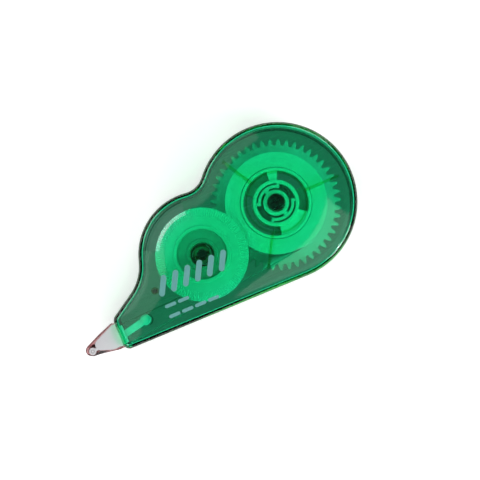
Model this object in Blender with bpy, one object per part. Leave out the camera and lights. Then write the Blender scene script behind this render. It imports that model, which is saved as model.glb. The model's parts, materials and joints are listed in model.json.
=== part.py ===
"""Correction tape roller: a palm-sized dispenser for 5 mm wide correction tape.

Two translucent snap-together covers hold a geared supply reel, a geared take-up reel and a
wedge-shaped tip. Tape leaves the supply reel, runs round the tip's roller and is wound up again.

+X points from the take-up side to the supply side along the straight bottom edge, +Z along the
reels' axes, and the back of the rear cover lies on Z = 0. All sizes below are in millimetres.
"""

import math

import bmesh
import bpy
from mathutils import Matrix, Vector

MM = 0.001  # one millimetre in the scene's metres

# Case
CASE_DEPTH = 15.0
REAR_WALL = 1.3
FRONT_WALL = 1.4
SIDE_WALL = 1.2
REAR_EDGE_ROUND = 1.5
FRONT_EDGE_ROUND = 2.6
SPLIT_HEIGHT = 7.5  # where the covers meet
SEAM = 0.3
LIP_RISE = 0.85  # the rear cover's lip stands inside the front cover's wall
LIP_SPLIT = 0.5
LIP_FREE = 0.15

# Reel axes: supply at the origin, take-up at the gears' centre distance
MODULE = 0.75
SUPPLY_TEETH = 48
TAKEUP_TEETH = 20
PRESSURE_ANGLE = math.radians(20)
BACKLASH = 0.2
CENTRE_DISTANCE = MODULE * (SUPPLY_TEETH + TAKEUP_TEETH) / 2
TAKEUP_BEARING = math.radians(192)  # direction of the take-up axis seen from the supply axis
SUPPLY = Vector((0.0, 0.0))
TAKEUP = SUPPLY + CENTRE_DISTANCE * Vector((math.cos(TAKEUP_BEARING), math.sin(TAKEUP_BEARING)))

# Outline of the case: round each reel, necked between them, drawn out to the mouth
SUPPLY_END = Vector((0.43, 0.11))  # a little off the reel's axis
SUPPLY_END_R = 22.46
TAKEUP_END_R = 17.85
NECK_R = 6.5
NOSE_R = 13.66
NOSE_BEARING = math.radians(163.4)  # where the nose's hollow leaves the take-up end
MOUTH_UPPER = (Vector((-53.0, -13.5)), 2.0)
MOUTH_LOWER = (Vector((-53.1, -20.0)), 1.9)
MOUTH_X = -55.0

# Heights of the layers
GEAR_Z = (2.6, 4.3)
SUPPLY_DISC_TOP = 5.1
TAKEUP_FLANGE_Z = (4.6, 5.1)
TAPE_Z = (5.4, 10.4)
DRUM_TOP = 10.6
THUMB_Z = (10.7, 11.7)
CEILING = CASE_DEPTH - FRONT_WALL

# Clearances
RUN = 0.1  # radial, between a hub and its post
GAP = 0.3  # between pieces that only lie next to each other

# Supply reel
SUPPLY_POST_R = 2.5
SUPPLY_POST_TOP = 13.3
SUPPLY_HUB_R = 3.65
SUPPLY_DISC_R = 14.7
CLUTCH_Z = (7.95, 11.2)
CLUTCH_ARM_R = (4.3, 5.1)
REEL_BORE_R = 5.6
REEL_HUB_R = 6.6
DRUM_INNER_R = 9.3
DRUM_R = 10.1
SUPPLY_ROLL_R = (10.25, 14.5)

# Take-up reel
TAKEUP_BOSS_R = 3.3
TAKEUP_POST_R = 1.4
TAKEUP_POST_TOP = 13.0
TAKEUP_FLANGE_R = 10.5
THUMB_R = 13.2
THUMB_TEETH = 90
KNURL_DEPTH = 0.25
TAKEUP_TUBE_R = 4.5
TAKEUP_DRUM_R = (6.1, 7.1)
TAKEUP_ROLL_R = (7.25, 7.9)
RATCHET_TEETH = 12
RATCHET_R = 3.85

# Tip
ROLLER = Vector((-63.75, -18.45))
ROLLER_R = 1.2
TRUNNION_R = 0.4
TIP_CORE_Z = (5.1, 10.7)
TIP_CHEEK = 0.9  # depth of the white cheeks that stand out on either side of the core
TIP_PLATE_Z = ((4.4, 5.0), (10.8, 11.4))
ROLLER_EYE_R = 1.0
TIP_ANCHOR = Vector((-46.8, -15.95))  # the case pin through the tip's eyelet
TIP_ANCHOR_R = 0.75
UPPER_GUIDE = Vector((-55.2, -14.65))  # where the tape bends over the tip's root
LOWER_GUIDE = Vector((-55.2, -20.35))
TAPE_THICKNESS = 0.12
TAPE_FREE = 0.12

# Snap pin that helps the lip to hold the covers together
SNAP_PIN = Vector((-41.0, -9.7))
SNAP_PIN_R = 0.5
SNAP_SOCKET_R = 1.0


# Plane geometry


def polar(centre, radius, angle):
    return centre + radius * Vector((math.cos(angle), math.sin(angle)))


def tangent_angle(first, second):
    """Direction from each centre to its touching point with the line between two arcs."""
    (c0, r0), (c1, r1) = first, second
    run = c1 - c0
    spread = min(1.0, (r0 - r1) / run.length)  # exactly 1 where the arcs touch
    return math.atan2(run.y, run.x) - math.acos(spread)


def arc_outline(arcs, inset=0.0, chord=2.4):
    """Anticlockwise outline of tangent arcs; a negative radius is a hollow one."""
    joins = [tangent_angle(arcs[i], arcs[(i + 1) % len(arcs)]) for i in range(len(arcs))]
    points = []
    for i, (centre, radius) in enumerate(arcs):
        start, end = joins[i - 1], joins[i]
        sweep = (end - start) % math.tau if radius > 0 else -((start - end) % math.tau)
        steps = max(3, round(abs(radius * sweep) / chord))
        reach = max(radius - inset, 0.05) if radius > 0 else radius - inset
        points += [polar(centre, reach, start + sweep * k / steps) for k in range(steps + 1)]
    return points


def case_arcs():
    neck_side = SUPPLY_END_R + NECK_R
    other_side = TAKEUP_END_R + NECK_R
    apart = (TAKEUP - SUPPLY_END).length
    along = (neck_side**2 - other_side**2 + apart**2) / (2 * apart)
    towards = (TAKEUP - SUPPLY_END).normalized()
    outwards = Vector((towards.y, -towards.x))
    neck = SUPPLY_END + along * towards + math.sqrt(neck_side**2 - along**2) * outwards
    nose = polar(TAKEUP, TAKEUP_END_R + NOSE_R, NOSE_BEARING)
    return [
        (SUPPLY_END, SUPPLY_END_R),
        (neck, -NECK_R),
        (TAKEUP, TAKEUP_END_R),
        (nose, -NOSE_R),
        MOUTH_UPPER,
        MOUTH_LOWER,
    ]


def sector(centre, radii, angles, step=math.radians(6)):
    """Outline of a part of a ring."""
    start, end = angles
    steps = max(2, round((end - start) / step))
    sweep = [start + (end - start) * k / steps for k in range(steps + 1)]
    inner = [polar(centre, radii[0], a) for a in reversed(sweep)]
    return [polar(centre, radii[1], a) for a in sweep] + inner


def bar(start, end, width):
    """Outline of a straight bar between two points."""
    side = (end - start).normalized().orthogonal() * width / 2
    return [start + side, start - side, end - side, end + side]


def involute(angle):
    return math.tan(angle) - angle


def gear_outline(centre, teeth, first_tooth):
    """Involute spur gear with one tooth centred on first_tooth."""
    pitch_r = MODULE * teeth / 2
    base_r = pitch_r * math.cos(PRESSURE_ANGLE)
    tip_r = pitch_r + MODULE
    root_r = pitch_r - 1.25 * MODULE
    half_at_pitch = (math.pi * MODULE - BACKLASH) / 4 / pitch_r + involute(PRESSURE_ANGLE)
    start_r = max(base_r, root_r)
    flank = []
    for k in range(3):
        r = start_r + (tip_r - start_r) * k / 2
        flank.append((r, half_at_pitch - involute(math.acos(base_r / r))))
    if base_r > root_r:
        flank.insert(0, (root_r, half_at_pitch))
    else:
        flank[0] = (root_r, flank[0][1])
    outline = []
    for tooth in range(teeth):
        middle = first_tooth + math.tau * tooth / teeth
        outline += [polar(centre, r, middle - half) for r, half in flank]
        outline += [polar(centre, r, middle + half) for r, half in reversed(flank)]
    return outline


def line_touching_circle(point, centre, radius, side):
    """Where the line from a point touches a circle; side is 1 or -1."""
    away = point - centre
    bend = side * math.acos(radius / away.length)
    return polar(centre, radius, math.atan2(away.y, away.x) + bend)


def strip_outline(path, width):
    """Outline of a strip of even width along a path."""
    left, right = [], []
    for i, point in enumerate(path):
        before = (point - path[i - 1]).normalized() if i else None
        after = (path[i + 1] - point).normalized() if i + 1 < len(path) else None
        heading = (before + after).normalized() if before and after else before or after
        side = Vector((-heading.y, heading.x)) * width / 2
        left.append(point + side)
        right.append(point - side)
    return left + right[::-1]


# Solids


def prism(outline, heights):
    bm = bmesh.new()
    low, high = heights
    face = bm.faces.new([bm.verts.new((p.x, p.y, low)) for p in outline])
    raised = bmesh.ops.extrude_face_region(bm, geom=[face])["geom"]
    moved = [v for v in raised if isinstance(v, bmesh.types.BMVert)]
    bmesh.ops.translate(bm, verts=moved, vec=(0, 0, high - low))
    bmesh.ops.recalc_face_normals(bm, faces=bm.faces)
    return bm


def turned(profile, centre, steps=36, hollow=False):
    """Spins a profile of (radius, height) round a vertical axis; a hollow one closes on itself."""
    bm = bmesh.new()
    verts = [bm.verts.new((centre.x + r, centre.y, z)) for r, z in profile]
    edges = [bm.edges.new(pair) for pair in zip(verts, verts[1:])]
    if hollow:
        edges.append(bm.edges.new((verts[-1], verts[0])))
    bmesh.ops.spin(
        bm,
        geom=verts + edges,
        cent=(centre.x, centre.y, 0),
        axis=(0, 0, 1),
        angle=math.tau,
        steps=steps,
        use_merge=True,
    )
    if not hollow:
        bmesh.ops.holes_fill(bm, edges=[e for e in bm.edges if e.is_boundary])
    bmesh.ops.recalc_face_normals(bm, faces=bm.faces)
    return bm


def tube(centre, radii, heights, steps=36):
    low, high = heights
    inner, outer = radii
    return turned([(inner, low), (outer, low), (outer, high), (inner, high)], centre, steps, True)


def cylinder(centre, radius, heights, steps=36):
    return turned([(radius, heights[0]), (radius, heights[1])], centre, steps)


def shell(rings):
    """Closed solid through rings of equal length, each an (outline, height) pair."""
    bm = bmesh.new()
    loops = [[bm.verts.new((p.x, p.y, z)) for p in outline] for outline, z in rings]
    for low, high in zip(loops, loops[1:]):
        for k in range(len(low)):
            bm.faces.new((low[k - 1], low[k], high[k], high[k - 1]))
    bm.faces.new(loops[0])
    bm.faces.new(loops[-1])
    bmesh.ops.recalc_face_normals(bm, faces=bm.faces)
    return bm


def gathered(solids):
    """Several separate solids as one mesh."""
    whole = bmesh.new()
    for solid in solids:
        mesh = bpy.data.meshes.new("piece")
        solid.to_mesh(mesh)
        solid.free()
        whole.from_mesh(mesh)
        bpy.data.meshes.remove(mesh)
    return whole


def scratch_object(bm):
    mesh = bpy.data.meshes.new("scratch")
    bm.to_mesh(mesh)
    bm.free()
    thing = bpy.data.objects.new("scratch", mesh)
    bpy.context.collection.objects.link(thing)
    return thing


def combined(solid, tool, operation):
    """The exact Boolean of two solids, as a new mesh."""
    body = scratch_object(solid)
    other = scratch_object(tool)
    modifier = body.modifiers.new("Combine", "BOOLEAN")
    modifier.operation = operation
    modifier.solver = "EXACT"
    modifier.object = other
    evaluated = body.evaluated_get(bpy.context.evaluated_depsgraph_get())
    result = bmesh.new()
    result.from_mesh(evaluated.to_mesh())
    evaluated.to_mesh_clear()
    for thing in (body, other):
        mesh = thing.data
        bpy.data.objects.remove(thing)
        bpy.data.meshes.remove(mesh)
    return result


def joined(solid, *tools):
    for tool in tools:
        solid = combined(solid, tool, "UNION")
    return solid


def cut(solid, *tools):
    for tool in tools:
        solid = combined(solid, tool, "DIFFERENCE")
    return solid


# Objects and materials


def plastic(name, colour, roughness, metallic=0.0):
    material = bpy.data.materials.new(name)
    material.use_nodes = True
    shader = material.node_tree.nodes["Principled BSDF"]
    shader.inputs["Base Color"].default_value = (*colour, 1.0)
    shader.inputs["Roughness"].default_value = roughness
    shader.inputs["Metallic"].default_value = metallic
    return material


def place(name, bm, axis, colour, roughness):
    """Makes the named object, in metres, with its origin on the given vertical axis."""
    bmesh.ops.remove_doubles(bm, verts=bm.verts, dist=1e-4)
    origin = Vector((axis.x, axis.y, 0.0))
    bm.transform(Matrix.Scale(MM, 4) @ Matrix.Translation(-origin))
    mesh = bpy.data.meshes.new(name)
    bm.to_mesh(mesh)
    bm.free()
    mesh.materials.append(plastic(name, colour, roughness))
    for face in mesh.polygons:
        face.use_smooth = True
    mesh.set_sharp_from_angle(angle=math.radians(30))
    thing = bpy.data.objects.new(name, mesh)
    thing.location = origin * MM
    bpy.context.collection.objects.link(thing)
    return thing


# Covers


def rounded_edge(radius, steps=4):
    """(inset, drop) pairs of a quarter round from the flat face to the side."""
    turn = [math.radians(90) * k / steps for k in range(steps + 1)]
    return [(radius * (1 - math.sin(t)), radius * (1 - math.cos(t))) for t in turn]


def cover_shell(steps):
    arcs = case_arcs()
    return shell([(arc_outline(arcs, inset), z) for inset, z in steps])


def mouth_opening():
    low, high = TIP_CORE_Z[0] - TIP_CHEEK - GAP, TIP_CORE_Z[1] + TIP_CHEEK + GAP
    left, right = MOUTH_X - 1.0, MOUTH_X + 2.2
    bottom, top = LOWER_GUIDE.y - 0.45, UPPER_GUIDE.y + 1.0
    corners = ((left, bottom), (right, bottom), (right, top), (left, top))
    return prism([Vector(p) for p in corners], (low, high))


def rear_cover():
    """Floor, lower half of the side wall with its lip, and every post the pieces sit on."""
    top = SPLIT_HEIGHT - SEAM / 2
    lip_inset = LIP_SPLIT + LIP_FREE
    corner = 0.6  # the floor meets the wall in a small chamfer
    steps = rounded_edge(REAR_EDGE_ROUND)
    steps += [(0.0, top), (lip_inset, top), (lip_inset, top + LIP_RISE), (SIDE_WALL, top + LIP_RISE)]
    steps += [(SIDE_WALL, REAR_WALL + corner), (SIDE_WALL + corner, REAR_WALL)]
    cover = cover_shell(steps)

    root = REAR_WALL / 2
    seat = GEAR_Z[0] - GAP
    supply_post = turned(
        [
            (SUPPLY_POST_R + 1.7, root),
            (SUPPLY_POST_R + 1.7, seat),
            (SUPPLY_POST_R, seat),
            (SUPPLY_POST_R, SUPPLY_POST_TOP),
            (0.75, SUPPLY_POST_TOP),
            (0.75, SUPPLY_POST_TOP - 1.2),
        ],
        SUPPLY,
    )
    boss_top = TAKEUP_FLANGE_Z[0] - 0.2
    takeup_post = turned(
        [
            (TAKEUP_BOSS_R + 1.6, root),
            (TAKEUP_BOSS_R + 1.6, seat),
            (TAKEUP_BOSS_R, seat),
            (TAKEUP_BOSS_R, boss_top),
            (TAKEUP_POST_R, boss_top),
            (TAKEUP_POST_R, TAKEUP_POST_TOP),
        ],
        TAKEUP,
    )
    key_reach = Vector((TAKEUP_POST_R + 0.5, 0.0))
    key = prism(bar(TAKEUP - key_reach, TAKEUP + key_reach, 0.7), (boss_top - 0.5, boss_top + 2.6))
    pin = turned(
        [
            (SNAP_SOCKET_R, root),
            (SNAP_SOCKET_R, top + LIP_RISE / 2),
            (SNAP_PIN_R, top + LIP_RISE / 2),
            (SNAP_PIN_R, CEILING - 1.2),
            (SNAP_PIN_R - 0.2, CEILING - 0.9),
        ],
        SNAP_PIN,
        16,
    )
    anchor = turned(
        [
            (TIP_ANCHOR_R + 0.75, root),
            (TIP_ANCHOR_R + 0.75, TIP_CORE_Z[0] + 0.6),
            (TIP_ANCHOR_R, TIP_CORE_Z[0] + 0.6),
            (TIP_ANCHOR_R, CEILING - GAP),
        ],
        TIP_ANCHOR,
        16,
    )
    cover = joined(cover, supply_post, takeup_post, key, pin, anchor)
    return cut(cover, mouth_opening())


def front_cover():
    """Face with its soft shoulder, upper half of the side wall, thumb window and inner ribs."""
    bottom = SPLIT_HEIGHT + SEAM / 2
    rebate = bottom + LIP_RISE
    steps = [(inset, CASE_DEPTH - drop) for inset, drop in rounded_edge(FRONT_EDGE_ROUND)]
    steps += [(0.0, bottom), (LIP_SPLIT, bottom), (LIP_SPLIT, rebate), (SIDE_WALL, rebate)]
    steps += [(SIDE_WALL, CEILING - 1.4), (SIDE_WALL + 0.4, CEILING - 0.4), (SIDE_WALL + 1.4, CEILING)]
    cover = cover_shell(steps)

    above = CEILING + FRONT_WALL / 2
    ring = tube(SUPPLY, (18.8, 19.2), (CEILING - 0.6, above), 60)
    ribs = []
    for angle in (0, 120, 240):
        start = polar(SUPPLY, 8.5, math.radians(angle))
        end = polar(SUPPLY, 19.0, math.radians(angle))
        ribs.append(prism(bar(start, end, 0.7), (DRUM_TOP + 0.4, above - 0.1)))
    socket = tube(SNAP_PIN, (SNAP_PIN_R + 0.15, SNAP_SOCKET_R), (rebate + 0.1, above + 0.1), 16)
    collar_radii = (TAKEUP_POST_R + 0.15, TAKEUP_POST_R + 1.0)
    collar = tube(TAKEUP, collar_radii, (THUMB_Z[1] + 0.6, above + 0.1), 16)
    window_angles = (math.radians(89), math.radians(154))
    window = prism(sector(TAKEUP, (11.8, 16.0), window_angles), (CEILING - 1.3, CASE_DEPTH + 1.0))
    cover = joined(cover, ring, gathered(ribs), socket, collar)
    return cut(cover, window, mouth_opening())


# Supply reel


def supply_gear():
    """48-tooth wheel with a raised disc behind the tape, two windows and a slotted hub."""
    first_tooth = TAKEUP_BEARING
    gear = prism(gear_outline(SUPPLY, SUPPLY_TEETH, first_tooth), GEAR_Z)
    disc = cylinder(SUPPLY, SUPPLY_DISC_R, (GEAR_Z[0] + 0.5, SUPPLY_DISC_TOP), 60)
    hub = cylinder(SUPPLY, SUPPLY_HUB_R, (GEAR_Z[0] + 1.0, CLUTCH_Z[0] - GAP))
    bore = cylinder(SUPPLY, SUPPLY_POST_R + RUN, (GEAR_Z[0] - 1.0, CLUTCH_Z[1]))
    cut_heights = (GEAR_Z[0] - 1.0, SUPPLY_DISC_TOP + 0.2)
    windows = [
        prism(sector(SUPPLY, (6.9, 10.0), (math.radians(a), math.radians(b))), cut_heights)
        for a, b in ((12, 82), (139, 242))
    ]
    slot_heights = (CLUTCH_Z[0] - 1.3, CLUTCH_Z[0])
    slots = [
        prism(sector(SUPPLY, (1.5, 4.5), (math.radians(a), math.radians(a + 36))), slot_heights)
        for a in (17, 197)
    ]
    return cut(joined(gear, disc, hub), bore, gathered(windows), gathered(slots))


def slip_clutch():
    """Ring keyed to the gear's hub, with two sprung arms that rub on the reel's bore."""
    ring_radii = (SUPPLY_POST_R + RUN, SUPPLY_HUB_R)
    ring = tube(SUPPLY, ring_radii, CLUTCH_Z)
    dog_radii = (ring_radii[0] + 0.15, ring_radii[1] - 0.15)
    dogs = [
        prism(
            sector(SUPPLY, dog_radii, (math.radians(a), math.radians(a + 30))),
            (CLUTCH_Z[0] - 1.0, CLUTCH_Z[0] + 0.5),
        )
        for a in (20, 200)
    ]
    arm_heights = (CLUTCH_Z[0] + 0.3, CLUTCH_Z[1] - 0.3)
    arms, bridges, lugs = [], [], []
    for start, bridge, end in ((57, 107, 167), (232, 290, 352)):
        span = (math.radians(start), math.radians(end))
        arms.append(prism(sector(SUPPLY, CLUTCH_ARM_R, span), arm_heights))
        near = polar(SUPPLY, SUPPLY_HUB_R - 0.3, math.radians(bridge))
        far = polar(SUPPLY, CLUTCH_ARM_R[0] + 0.3, math.radians(bridge))
        inner_heights = (arm_heights[0] + 0.1, arm_heights[1] - 0.1)
        bridges.append(prism(bar(near, far, 1.3), inner_heights))
        for a in (start + 1, end - 9):
            reach = (CLUTCH_ARM_R[1] - 0.3, REEL_BORE_R - RUN)
            lugs.append(
                prism(sector(SUPPLY, reach, (math.radians(a), math.radians(a + 8))), inner_heights)
            )
    return joined(ring, gathered(dogs), gathered(arms), gathered(bridges), gathered(lugs))


def supply_reel():
    """Open drum: a bore the clutch rubs on, an outer drum and two webs between them."""
    base = SUPPLY_DISC_TOP + GAP
    hub = tube(SUPPLY, (REEL_BORE_R, REEL_HUB_R), (base, DRUM_TOP + 0.1))
    drum = tube(SUPPLY, (DRUM_INNER_R, DRUM_R), (base, DRUM_TOP), 60)
    webs = [
        prism(
            sector(SUPPLY, (REEL_HUB_R - 0.5, DRUM_INNER_R + 0.4), (math.radians(a), math.radians(b))),
            (DRUM_TOP - 2.0, DRUM_TOP - 0.6),
        )
        for a, b in ((65, 84), (257, 322))
    ]
    return joined(gathered([hub, drum]), gathered(webs))


# Take-up reel


def takeup_gear():
    """20-tooth pinion with a rear flange, a ratcheted inner tube and a drum for spent tape."""
    towards_supply = TAKEUP_BEARING - math.pi
    first_tooth = towards_supply + math.pi / TAKEUP_TEETH
    gear = prism(gear_outline(TAKEUP, TAKEUP_TEETH, first_tooth), GEAR_Z)
    neck = cylinder(TAKEUP, 6.2, (GEAR_Z[1] - 0.6, TAKEUP_FLANGE_Z[1] - 0.2))
    flange = cylinder(TAKEUP, TAKEUP_FLANGE_R, TAKEUP_FLANGE_Z, 60)
    drum_heights = (TAKEUP_FLANGE_Z[1] - 0.25, TAPE_Z[1])
    inner_tube = tube(TAKEUP, (TAKEUP_BOSS_R - 0.5, TAKEUP_TUBE_R), drum_heights)
    drum = tube(TAKEUP, TAKEUP_DRUM_R, drum_heights)
    bore = cylinder(TAKEUP, TAKEUP_BOSS_R + RUN, (GEAR_Z[0] - 1.0, TAPE_Z[1] + 1.0))
    notches = []
    for k in range(RATCHET_TEETH):
        start = math.tau * k / RATCHET_TEETH
        notches.append(polar(TAKEUP, TAKEUP_BOSS_R - RUN, start))
        notches.append(polar(TAKEUP, RATCHET_R, start + 0.87 * math.tau / RATCHET_TEETH))
    ratchet = prism(notches, (TAKEUP_FLANGE_Z[0] + 0.2, TAKEUP_FLANGE_Z[1] + 2.6))
    solid = joined(gear, neck, flange, inner_tube, drum)
    return cut(solid, bore, ratchet)


def thumb_flange():
    """Knurled disc that closes the take-up reel; a finger turns it through the window."""
    edge = []
    for k in range(THUMB_TEETH * 2):
        depth = KNURL_DEPTH * (k % 2)
        edge.append(polar(TAKEUP, THUMB_R - depth, math.pi * k / THUMB_TEETH))
    disc = prism(edge, THUMB_Z)
    low, high = THUMB_Z
    collar_low = TAPE_Z[0] + 0.6
    sleeve_radii = (TAKEUP_TUBE_R + 0.2, TAKEUP_DRUM_R[0] - 0.2)
    sleeve = tube(TAKEUP, sleeve_radii, (collar_low, low + 0.5))
    step = tube(TAKEUP, (7.0, 8.1), (high - 0.5, high + 0.3))
    hole = cylinder(TAKEUP, TAKEUP_BOSS_R + 0.2, (low - 1.0, high + 1.0))
    return cut(joined(disc, sleeve, step), hole)


def ratchet_pawl():
    """Ring keyed to the case post; three sprung arms stop the take-up reel turning back."""
    low = TAKEUP_FLANGE_Z[0] + 0.1
    heights = (low, low + 2.5)
    ring = tube(TAKEUP, (TAKEUP_POST_R + 0.15, 2.35), heights, 36)
    slot_reach = Vector((TAKEUP_POST_R + 0.65, 0.0))
    slot = prism(bar(TAKEUP - slot_reach, TAKEUP + slot_reach, 1.0), (low - 1.0, low + 4.0))
    arms = []
    for k in range(3):
        outer, inner = [], []
        for step in range(9):
            t = step / 8
            angle = math.radians(95 + 120 * k + 75 * t)
            middle = 2.3 + 0.7 * t
            outer.append(polar(TAKEUP, middle + 0.2, angle))
            inner.append(polar(TAKEUP, middle - 0.2, angle))
        arms.append(prism(outer + inner[::-1], (heights[0] + 0.2, heights[1] - 0.2)))
    return cut(joined(ring, gathered(arms)), slot)


# Tip


def cheek_outline(swell=0.0):
    """Rounded wedge of the tip's white cheek, grown on every side by swell."""
    corners = [
        (Vector((-54.6, -14.5)), 0.5),
        (Vector((-55.9, -14.2)), 0.5),
        (Vector((-61.0, -17.5)), 1.5),
        (Vector((-61.3, -18.3)), 0.8),
        (Vector((-58.2, -19.6)), 0.6),
        (Vector((-54.6, -19.7)), 0.5),
    ]
    return arc_outline([(centre, radius + swell) for centre, radius in corners], chord=0.5)


def cheek(heights, swell=0.0):
    """The cheek with the arm and eye that carry one end of the roller."""
    low, high = heights
    arm = bar(Vector((-60.8, -18.2)), ROLLER, 0.8 + 2 * swell)
    body = joined(prism(cheek_outline(swell), heights), prism(arm, (low + 0.05, high - 0.05)))
    return joined(body, cylinder(ROLLER, ROLLER_EYE_R + swell, (low + 0.02, high - 0.02), 24))


def tip_core():
    """White wedge that the tape slides over, with cheeks, a shank and an eyelet on the case pin."""
    clear = TAPE_FREE + TAPE_THICKNESS / 2
    upper, lower = UPPER_GUIDE.y - clear, LOWER_GUIDE.y + clear
    outline = [
        Vector((-62.0, -17.35)),
        Vector((-62.0, -19.15)),
        Vector((UPPER_GUIDE.x, lower)),
        Vector((-53.4, lower + 0.3)),
        Vector((-53.4, upper + 0.05)),
        Vector((UPPER_GUIDE.x, upper)),
    ]
    low, high = TIP_CORE_Z
    wedge = prism(outline, TIP_CORE_Z)
    front_cheek = cheek((high - 0.02, high + TIP_CHEEK))
    rear_cheek = cheek((low - TIP_CHEEK, low + 0.02))
    middle = Vector((-54.2, -17.6))
    shank_z = (low + 0.9, high - 0.9)
    shank = prism(bar(middle, TIP_ANCHOR, 1.9), shank_z)
    eye_z = (shank_z[0] - 0.1, shank_z[1] + 0.1)
    eyelet = cylinder(TIP_ANCHOR, 1.5, eye_z, 32)
    pin_hole = cylinder(TIP_ANCHOR, TIP_ANCHOR_R + RUN, (0.0, CASE_DEPTH), 16)
    bearings = cylinder(ROLLER, TRUNNION_R + RUN, (0.0, CASE_DEPTH), 20)
    return cut(joined(wedge, front_cheek, rear_cheek, shank, eyelet), pin_hole, bearings)


def tip_plate(heights):
    """Thin clear frame clipped round a cheek; it keeps the tape on the tip and roller."""
    end = (Vector((-64.0, -18.05)), 1.6)
    lower = (Vector((-56.1, -20.25)), 0.7)
    upper = (Vector((-56.1, -13.9)), 0.7)
    crown = (Vector((-60.1, -15.9)), 1.2)
    plate = prism(arc_outline([end, lower, upper, crown], chord=0.4), heights)
    return cut(plate, cheek((heights[0] - 1.0, heights[1] + 1.0), RUN))


def tip_roller():
    """White roller that presses the tape on the paper, turning on its own trunnions."""
    low, high = TAPE_Z[0] - 0.2, TAPE_Z[1] + 0.2
    outer_low, outer_high = TIP_CORE_Z[0] - TIP_CHEEK + 0.1, TIP_CORE_Z[1] + TIP_CHEEK - 0.1
    profile = [(TRUNNION_R, outer_low), (TRUNNION_R, low), (ROLLER_R, low)]
    profile += [(ROLLER_R, high), (TRUNNION_R, high), (TRUNNION_R, outer_high)]
    return turned(profile, ROLLER, 32)


# Tape


def tape_round_roller(start, end, steps=8):
    """Arc of the tape's middle line round the roller, clockwise from start to end."""
    radius = ROLLER_R + TAPE_FREE + TAPE_THICKNESS / 2
    return [polar(ROLLER, radius, start + (end - start) * k / steps) for k in range(steps + 1)]


def roller_contacts():
    radius = ROLLER_R + TAPE_FREE + TAPE_THICKNESS / 2
    below = line_touching_circle(LOWER_GUIDE, ROLLER, radius, -1) - ROLLER
    above = line_touching_circle(UPPER_GUIDE, ROLLER, radius, 1) - ROLLER
    below_angle = math.atan2(below.y, below.x) % math.tau
    above_angle = math.atan2(above.y, above.x) % math.tau
    return below_angle, above_angle


def feed_tape():
    """Coated tape from the supply roll, under the tip's root and half round the roller."""
    below, above = roller_contacts()
    halfway = (below + above) / 2
    roll = SUPPLY_ROLL_R[1] + TAPE_FREE + TAPE_THICKNESS / 2
    leaves = line_touching_circle(LOWER_GUIDE, SUPPLY, roll, 1)
    path = [leaves, LOWER_GUIDE] + tape_round_roller(below, halfway)
    return prism(strip_outline(path, TAPE_THICKNESS), TAPE_Z)


def return_tape():
    """Spent carrier from the roller, over the tip's root and back to the take-up roll."""
    below, above = roller_contacts()
    halfway = (below + above) / 2 - math.radians(9)
    roll = TAKEUP_ROLL_R[1] + TAPE_FREE + TAPE_THICKNESS / 2
    arrives = line_touching_circle(UPPER_GUIDE, TAKEUP, roll, 1)
    path = tape_round_roller(halfway, above) + [UPPER_GUIDE, arrives]
    return prism(strip_outline(path, TAPE_THICKNESS), TAPE_Z)


# Assembly

GREEN = (0.01, 0.32, 0.12)
WHITE = (0.83, 0.84, 0.82)
SMOKE = (0.42, 0.27, 0.27)
COATED_TAPE = (0.86, 0.87, 0.85)
CARRIER = (0.62, 0.55, 0.48)


def build():
    for thing in list(bpy.data.objects):
        bpy.data.objects.remove(thing)

    place("rear_cover", rear_cover(), SUPPLY, GREEN, 0.15)
    place("front_cover", front_cover(), SUPPLY, GREEN, 0.12)

    place("supply_gear", supply_gear(), SUPPLY, WHITE, 0.4)
    place("slip_clutch", slip_clutch(), SUPPLY, WHITE, 0.4)
    place("supply_reel", supply_reel(), SUPPLY, WHITE, 0.4)
    place("supply_tape_roll", tube(SUPPLY, SUPPLY_ROLL_R, TAPE_Z, 60), SUPPLY, COATED_TAPE, 0.6)

    place("takeup_gear", takeup_gear(), TAKEUP, WHITE, 0.4)
    place("takeup_thumb_flange", thumb_flange(), TAKEUP, WHITE, 0.35)
    place("takeup_tape_roll", tube(TAKEUP, TAKEUP_ROLL_R, TAPE_Z), TAKEUP, CARRIER, 0.5)
    place("ratchet_pawl", ratchet_pawl(), TAKEUP, WHITE, 0.4)

    place("tip_core", tip_core(), TIP_ANCHOR, WHITE, 0.35)
    place("tip_rear_plate", tip_plate(TIP_PLATE_Z[0]), ROLLER, SMOKE, 0.2)
    place("tip_front_plate", tip_plate(TIP_PLATE_Z[1]), ROLLER, SMOKE, 0.2)
    place("tip_roller", tip_roller(), ROLLER, WHITE, 0.3)

    place("feed_tape", feed_tape(), ROLLER, COATED_TAPE, 0.6)
    place("return_tape", return_tape(), ROLLER, CARRIER, 0.5)


build()
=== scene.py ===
"""Correction tape roller lying on a pale table, seen from above its front cover.

The frame is in metres; the sizes in each section are in millimetres.
"""

import json
import math
import random

import bmesh
import bpy
from mathutils import Matrix, Vector


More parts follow.
